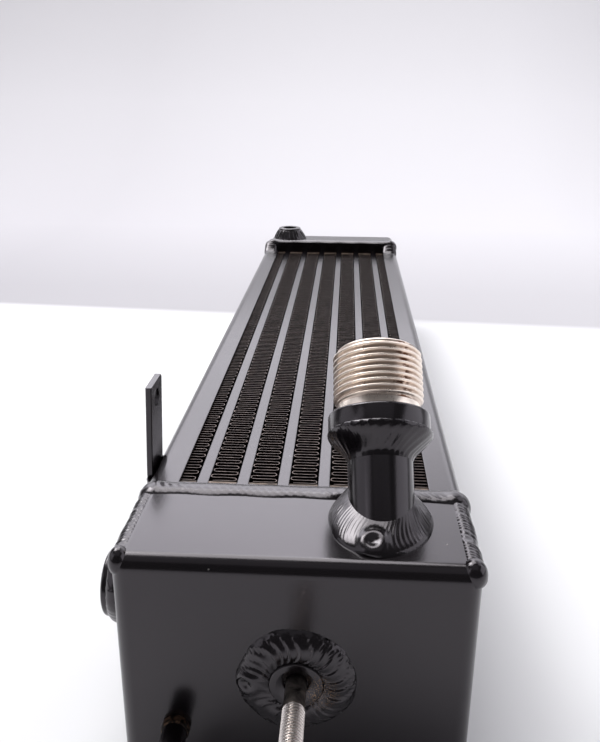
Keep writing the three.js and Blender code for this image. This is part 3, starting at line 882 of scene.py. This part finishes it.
def side_channel(name, node, side):
    """A folded channel down the core's side, with smooth outer bends."""
    low, high = own_box(node)
    outer, inner = (low[0], high[0]) if side < 0 else (high[0], low[0])
    web = outer - side * CHANNEL["web"]
    lip, bend, edge = CHANNEL["lip_sheet"], CHANNEL["bend"], CHANNEL["lip_edge"]
    z0, z1 = low[2], high[2]
    outline = [
        (inner, z0), (outer, z0), (outer, z1), (inner, z1), (inner, z1 - lip),
        (web, z1 - lip), (web, z0 + lip), (inner, z0 + lip),
    ]
    section = rounded(outline, [edge, bend, bend, edge, edge, 0, 0, edge], 10)
    shape = Shape().grid(slices((section, low[1]), (section, high[1])), loop_columns=True, caps=True)
    even_shading(piece(name, shape, COAT, node))


corner_lump("far_left_corner_weld", -45.6, 4.9, 3.0)
corner_lump("far_right_corner_weld", 44.9, 5.4, 6.0)
face_bars()
fin_rows()
side_channel("left_rail", "left_side_channel", -1)
side_channel("right_rail", "right_side_channel", 1)

# ---- threaded union ----


def union():
    """The leaning tube, the coated collar, the bare thread, and the bead under the collar."""
    foot, axis, bore, collar = UNION["foot"], UNION_AXIS, UNION["bore"], UNION["collar"]
    tube, tube_bore, seat, top = UNION["tube"], UNION["tube_bore"], UNION["tube_top"], UNION["collar_top"]
    neck, root = UNION["neck"], UNION["root"]

    profile = [(tube_bore, -7), (tube, -7), (tube, seat), (tube_bore, seat)]
    turned_piece("union_pipe", profile, foot, axis, 96, COAT, "union_tube", hint=SIDEWAYS)

    outline = [
        (bore, seat), (collar, seat), (collar, top), (neck, top), (neck, top - 0.6), (bore, top - 0.6),
    ]
    section = rounded(outline, [0, 0.4, 1.0, 0, 0, 0])
    turned_piece("union_collar", section, foot, axis, 96, COAT, "union_fitting", hint=SIDEWAYS, sharp=35)

    thread = threaded(
        UNION["crest"], root, UNION["pitch"], UNION["neck_top"], UNION["top"] - 0.5, foot, axis,
        144, 14, hint=SIDEWAYS,
    )
    neck_profile = [(bore, top - 0.6), (neck, top - 0.6), (neck, UNION["neck_top"] - 0.3)]
    lower = turned(neck_profile, foot, axis, 144, SIDEWAYS)
    end_profile = [(root - 0.5, UNION["top"]), (bore + 0.5, UNION["top"]), (bore, UNION["top"] - 0.5)]
    upper = turned(end_profile, foot, axis, 144, SIDEWAYS)
    whole = np.concatenate([lower, thread, upper], axis=1)
    shape = Shape().grid(whole, loop_rows=True, loop_columns=True)
    piece("union_thread", shape, THREAD, "union_fitting", sharp=50)

    ring_bead(
        "union_collar_bead", WELD_COAT, "union_collar_weld",
        [
            (collar - 0.1, seat + 1.2), (collar + 0.4, seat + 0.3), (14.2, 22.7),
            (11.6, 20.1), (9.9, 18.2), (tube + 0.02, 16.6),
        ],
        [(tube - 0.4, 17.4), (tube - 0.4, seat), (collar - 0.8, seat + 1.2)],
        foot, axis, 420, uneven=0.12, seed=3.0, hint=SIDEWAYS,
        ripples=34, depth=0.22, curve=0.5, slant=3.2,
    )


def union_foot_bead():
    """The fillet round the leaning tube's foot: from an oval toe on the tank up to a ring on the tube."""
    w = axes(UNION_AXIS, SIDEWAYS)[2]
    stations, columns = 460, 17
    foot = np.array(UNION["foot"], float)
    base, hidden = empty_bead(stations, columns)
    for i in range(stations):
        angle = TAU * i / stations
        across, along = math.cos(angle), math.sin(angle)
        uneven = 0.35 * math.sin(3 * angle + 1) + 0.12 * math.sin(7 * angle)
        toe = np.array((
            FOOT_WELD["x"] + (FOOT_WELD["across"] + uneven) * across,
            FOOT_WELD["y"] + (FOOT_WELD["along"] + uneven) * along,
            TANK_TOP - 0.1,
        ))
        toe[1] = min(toe[1], NEAR_TANK_DEPTH - 3.2)
        # The ring on the tube, at the same bearing as seen from above.
        spoke = np.array((across, along * 1.15, 0))
        spoke -= w * np.dot(spoke, w)
        spoke *= UNION["tube"] / np.linalg.norm(spoke)
        climb = FOOT_WELD["climb"] + 0.5 * math.sin(2 * angle + 2)
        top = foot + spoke + w * ((climb - spoke[2]) / w[2])
        points = [
            toe + (top - toe) * share + np.array((0, 0, rise))
            for share, rise in ((0, 0), (0.08, 0.6), (0.35, 0.65), (0.7, 0.3), (1, 0))
        ]
        base[i] = through(points, columns)
        hidden[i, 0] = top - spoke * 0.06 - w * 0.6
        hidden[i, 1] = toe * 0.8 + np.array((foot[0], foot[1], TANK_TOP)) * 0.2 - np.array((0, 0, 0.9))
    shape = bead_shape(
        base, hidden, True, ripples=66, depth=0.1, seed=6.0, curve=1.8, slant=1.2,
        craters=((0.722, 0.5, 5.2, 0.7, 0.3),),
    )
    piece("union_foot_bead", shape, WELD_COAT, "union_base_weld")


union()
union_foot_bead()

# ---- boss, stud and locating pin ----


def front_boss():
    """The countersunk boss in the tank's front, and the swirled bead round it."""
    r, proud, sink, hole = BOSS["r"], BOSS["proud"], BOSS["sink"], BOSS["hole"]
    outline = [
        (0, -8), (r, -8), (r, proud), (sink, proud), (hole, proud - BOSS["sink_depth"]),
        (hole, -7), (0, -7),
    ]
    section = rounded(outline, [0, 0, 0.5, 0.3, 0.3, 0, 0], 4)
    turned_piece("front_boss_body", section, BOSS_FOOT, FRONT, 64, BOSS_COAT, "front_boss", ring=False)
    ring_bead(
        "front_boss_bead", BOSS_COAT, "front_boss_weld",
        [(16.0, -0.05), (14.9, 1.2), (12.6, 2.3), (10.0, 2.9), (8.4, 2.75), (7.2, 2.3)],
        [(7.1, -0.4), (15.6, -0.5)],
        BOSS_FOOT, FRONT, 560, uneven=0.22, seed=2.0,
        ripples=26, depth=0.5, curve=1.6, slant=0.8,
        craters=((0.5, 0.42, 4.6, 0.7, 0.4),),
    )


def mounting_stud():
    """A dulled plain end, and the bare rod with its helical thread."""
    shank, shank_end, root = STUD["shank"], STUD["shank_end"], STUD["root"]
    profile = [(0, -6.5), (shank, -6.5), (shank, shank_end), (2, shank_end + 0.3)]
    turned_piece("stud_shank", profile, BOSS_FOOT, FRONT, 48, SHANK, "mounting_stud", ring=False)
    start, reach = shank_end - 0.4, STUD["reach"]
    rod = threaded(STUD["crest"], root, STUD["pitch"], start, reach - 0.4, BOSS_FOOT, FRONT, 48, 10)
    base = turned([(0, start), (root - 0.2, start)], BOSS_FOOT, FRONT, 48)
    tip = turned([(root - 0.3, reach), (0, reach)], BOSS_FOOT, FRONT, 48)
    shape = Shape().grid(np.concatenate([base, rod, tip], axis=1), loop_rows=True)
    piece("stud_thread", shape, STEEL, "mounting_stud", sharp=60)


def locating_pin():
    """A coated peg, and a ring at its foot where the heat browned it."""
    foot = (PIN["x"], 0, PIN["z"])
    r, reach, collar = PIN["r"], PIN["reach"], PIN["collar"]
    outline = [(0, -1.5), (r - 0.3, -1.5), (r - 0.3, 0.6), (r, 1.3), (r, reach), (0, reach)]
    section = rounded(outline, [0, 0, 0.2, 0.2, 0.9, 0], 4)
    turned_piece("locating_peg", section, foot, FRONT, 48, COAT, "locating_pin", ring=False)
    ring_bead(
        "locating_peg_foot", HEATED, "locating_pin",
        [(collar - 0.1, -0.05), (collar - 0.15, 1.2), (collar - 0.2, 2.1), (r - 0.05, 2.4)],
        [(r - 0.2, 1.9), (r - 0.2, -0.3)],
        foot, FRONT, 90, uneven=0.08, seed=4.0, ripples=9, depth=0.12,
    )


front_boss()
mounting_stud()
locating_pin()

# ---- side port and bung ----


def socket_body(name, node, size, mouth, foot, direction, segments, hint):
    """A round body with a bore; mouth gives the radii of its outer and inner edges."""
    r, bore, reach = size["r"], size["bore"], size["reach"]
    outline = [(bore, -3.5), (r, -3.5), (r, reach), (bore, reach)]
    section = rounded(outline, [0, 0, *mouth])
    turned_piece(name, section, foot, direction, segments, COAT, node, hint=hint)


def side_port():
    socket_body("side_port_body", "side_port", PORT, (0.9, 0.4), PORT_FOOT, LEFT, 72, UP)
    r, toe = PORT["r"], PORT["weld"]
    ring_bead(
        "side_port_bead", WELD_COAT, "side_port_weld",
        [(toe, -0.1), (11.9, 2.0), (11.2, 3.9), (10.2, 5.0), (r - 0.05, 5.4)],
        [(r - 0.3, 4.4), (r - 0.3, -0.5), (toe - 0.6, -0.6)],
        PORT_FOOT, LEFT, 360, uneven=0.2, seed=7.0, ripples=28, depth=0.08, curve=0.8,
    )


def far_bung():
    socket_body("far_bung_body", "far_bung", BUNG, (1.0, 0.3), BUNG_FOOT, UP, 64, SIDEWAYS)
    r, toe = BUNG["r"], BUNG["weld"]
    ring_bead(
        "far_bung_bead", WELD_COAT, "far_bung_weld",
        [(toe, -0.1), (11.9, 1.2), (10.6, 3.5), (9.4, 5.6), (r - 0.05, 7.2)],
        [(r - 0.3, 6.4), (r - 0.3, -0.5), (toe - 0.6, -0.6)],
        BUNG_FOOT, UP, 360, uneven=0.25, seed=9.0, hint=SIDEWAYS,
        ripples=26, depth=0.5, curve=0.4, slant=0.5,
    )


side_port()
far_bung()

# ---- bracket ----


def bracket():
    """A flat strip against the left channel; above its kink it leans in a little."""
    low, high = own_box("mounting_bracket")
    sheet, lean, kink, corner = (BRACKET[key] for key in ("sheet", "lean", "kink", "corner"))
    front, back, bottom, top = low[1], high[1], low[2], high[2]
    eased = 0.25
    inner_x = low[0] + sheet
    rows = []
    for z in (bottom, kink, top - corner, top):
        x = inner_x + lean * max(z - kink, 0) / (top - kink)
        y0, y1 = front, back - max(z - (top - corner), 0)
        rows.append([
            (x - sheet, y0 + eased, z), (x - sheet, y1 - eased, z), (x - sheet + eased, y1, z),
            (x - eased, y1, z), (x, y1 - eased, z), (x, y0 + eased, z),
            (x - eased, y0, z), (x - sheet + eased, y0, z),
        ])
    shape = Shape().grid(rows, loop_columns=True, caps=True)
    strip = mesh_object("bracket_strip", shape, [COAT], sharp=30)
    drilled(strip, (BRACKET["hole"], 6, (inner_x, (front + back) / 2, BRACKET["hole_z"]), LEFT))
    settle(even_shading(strip), "mounting_bracket")
    bracket_bead("bracket_bead_front", inner_x, front, -1, 2.0)
    bracket_bead("bracket_bead_back", inner_x, back, 1, 5.0)


def bracket_bead(name, face_x, edge_y, sign, seed):
    """The upright bead in the corner between one edge of the bracket and the channel."""
    stations = np.arange(*BRACKET["weld"], 0.3)
    section = through([(2.6, -0.1), (2.1, 0.9), (1.1, 1.7), (-0.05, 2.1)], 9)
    buried = ((-0.2, 1.6), (2.0, -0.4))
    base, hidden = (
        np.array([[(face_x - h, edge_y + sign * a, z) for a, h in points] for z in stations])
        for points in (section, buried)
    )
    shape = bead_shape(base, hidden, False, ripples=13, depth=0.3, seed=seed, curve=0.7)
    piece(name, shape, WELD_COAT)


bracket()

# ---- CAD nodes that stay as they are ----

for node_name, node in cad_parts.items():
    if "end_bar" in node_name:
        node.material_slots[0].material = END_BAR
    elif node_name.startswith("turbulator") or node_name == "tank_baffle":
        node.material_slots[0].material = ALUMINIUM

# ---- floor and backdrop; from here on in metres ----


def stage_paper():
    """A table that runs back and then curves up far behind the cooler."""
    half_width, front, back, rise, radius = 3.2, -2.2, 1.3, 2.2, 0.6
    bend_steps = 16
    line = [(front, 0.0), (back - radius, 0.0)]
    for k in range(1, bend_steps + 1):
        angle = math.radians(90 * k / bend_steps)
        line.append((back - radius + radius * math.sin(angle), radius * (1 - math.cos(angle))))
    line.append((back, rise))
    points = [(x, y, z) for y, z in line for x in (-half_width, half_width)]
    faces = [(2 * i, 2 * i + 1, 2 * i + 3, 2 * i + 2) for i in range(len(line) - 1)]
    mesh = bpy.data.meshes.new("paper")
    mesh.from_pydata(points, [], faces)
    mesh.materials.append(paper_look())
    mesh.shade_smooth()
    add_object("paper", mesh)


stage_paper()

# ---- light ----

COOL_WHITE, WHITE = (0.945, 0.935, 1.0), (1, 1, 1)
COOLER = (0, -0.1, 0.05)

# Each light's name, place, what it aims at, width, height and power, and its colour if not cool white.
LIGHTS = (
    ("overhead", (-0.35, 0.6, 1.5), COOLER, 1.3, 1.0, 20, WHITE),
    ("key", (-0.85, 0.45, 1.3), COOLER, 0.7, 0.65, 12, WHITE),
    ("upper_back_left_panel", (-0.65, 1.26, 1.11), (-0.65, 0, 1.05), 1.5, 0.8, 12.2),
    ("upper_back_right_panel", (0.75, 1.26, 1.11), (0.75, 0, 1.05), 1.3, 0.8, 5.2),
    ("lower_back_panel", (0, 1.27, 0.53), (0, 0, 0.5), 2.8, 0.34, 6.0),
    ("front_panel", (0, -0.6, 1.3), (0, -0.15, 0.05), 1.4, 0.9, 0.8),
    ("left_strip", (-0.84, -0.6, 0.8), (0.02, -0.15, 0.1), 0.3, 0.5, 0.35),
    ("right_high_panel", (0.95, 0.45, 1.2), COOLER, 0.8, 0.8, 2.4),
    ("left_panel", (-1.25, -0.3, 0.5), COOLER, 1.3, 0.7, 2.2),
    ("right_panel", (1.3, -0.1, 0.55), COOLER, 1.4, 0.9, 5.2),
)


def soft_light(name, place, aim, width, height, power, colour=COOL_WHITE):
    data = bpy.data.lights.new(name, "AREA")
    data.shape = "RECTANGLE"
    data.size, data.size_y = width, height
    data.energy = power
    data.color = colour
    light = add_object(name, data)
    light.location = place
    light.rotation_euler = (Vector(aim) - Vector(place)).to_track_quat("-Z", "Y").to_euler()


for light_row in LIGHTS:
    soft_light(*light_row)

world = bpy.data.worlds.new("studio")
bpy.context.scene.world = world
world.use_nodes = True
set_inputs(world.node_tree.nodes["Background"], Color=(0.80, 0.79, 0.83, 1), Strength=0.14)

# ---- camera ----

CAMERA_PLACE = (0.013445, -0.380057, 0.183664)
CAMERA_YAW, CAMERA_PITCH, CAMERA_ROLL = -0.0571128, 0.3485513, 0.0065116
CAMERA_LENS, CAMERA_SENSOR = 38.19, 36


def add_camera():
    """A camera that looks along +Y, turned right by its yaw, tilted down and rolled."""
    data = bpy.data.cameras.new("camera")
    data.lens, data.sensor_width = CAMERA_LENS, CAMERA_SENSOR
    data.clip_start, data.clip_end = 0.01, 20
    camera = add_object("camera", data)
    camera.matrix_world = (
        Matrix.Translation(CAMERA_PLACE)
        @ Matrix.Rotation(-CAMERA_YAW, 4, "Z")
        @ Matrix.Rotation(math.pi / 2 - CAMERA_PITCH, 4, "X")
        @ Matrix.Rotation(CAMERA_ROLL, 4, "Z")
    )
    bpy.context.scene.camera = camera


add_camera()
bpy.context.scene.view_settings.view_transform = "Standard"
